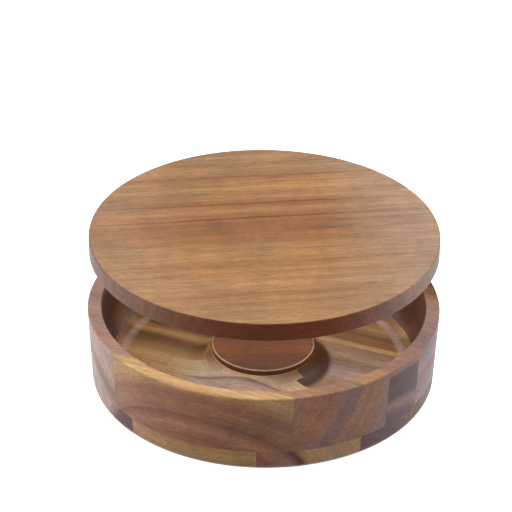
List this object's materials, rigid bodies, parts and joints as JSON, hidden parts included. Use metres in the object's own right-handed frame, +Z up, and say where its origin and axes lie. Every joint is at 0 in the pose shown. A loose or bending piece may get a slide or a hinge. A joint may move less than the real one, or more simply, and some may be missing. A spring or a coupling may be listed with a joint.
{
  "type": "chip and dip server",
  "caption": "Round lidded wooden server: a glued and turned bowl with a ring-shaped moat for chips, a raised centre disc for the dip, and a flat lift-off lid.",
  "frame": {"origin": "centre of the underside, on the surface it stands on", "axes": "+Z up along the turning axis, -Y to the front as shown, +X to the right"},
  "size_m": [0.2798, 0.2798, 0.132],
  "materials": {
    "golden_tan": "satin oiled",
    "pale_cream": "satin oiled",
    "olive_brown": "satin oiled",
    "walnut_brown": "satin oiled",
    "red_heartwood": "satin oiled",
    "dark_heartwood": "satin oiled",
    "lid_wood": "satin oiled"
  },
  "bodies": {
    "bowl": {"base_back_left_block": "golden_tan", "base_back_right_block": "golden_tan", "base_front_left_block": "walnut_brown", "base_front_middle_block": "golden_tan", "base_front_right_block": "golden_tan", "base_inner_left_block": "golden_tan", "base_inner_middle_block": "pale_cream", "base_inner_right_block": "dark_heartwood", "base_outer_left_block": "olive_brown", "base_outer_right_block": "olive_brown", "centre_disc": "red_heartwood", "hub_back_block": "dark_heartwood", "hub_front_block": "pale_cream", "wall_back_block": "red_heartwood", "wall_back_left_block": "golden_tan", "wall_back_right_block": "walnut_brown", "wall_front_block": "red_heartwood", "wall_front_left_block": "walnut_brown", "wall_front_right_block": "walnut_brown", "wall_inner_left_block": "golden_tan", "wall_inner_right_block": "dark_heartwood", "wall_outer_left_block": "walnut_brown", "wall_outer_right_block": "red_heartwood"},
    "lid": {"lid_board_1": "lid_wood", "lid_board_2": "lid_wood", "lid_board_3": "lid_wood", "lid_board_4": "lid_wood", "lid_board_5": "lid_wood", "lid_board_6": "lid_wood"}
  },
  "joints": [
    {"name": "lid_lift", "type": "slide", "parent": "bowl", "child": "lid", "axis": [0, 0, 1], "range_m": [-0.0492, 0.06]}
  ]
}
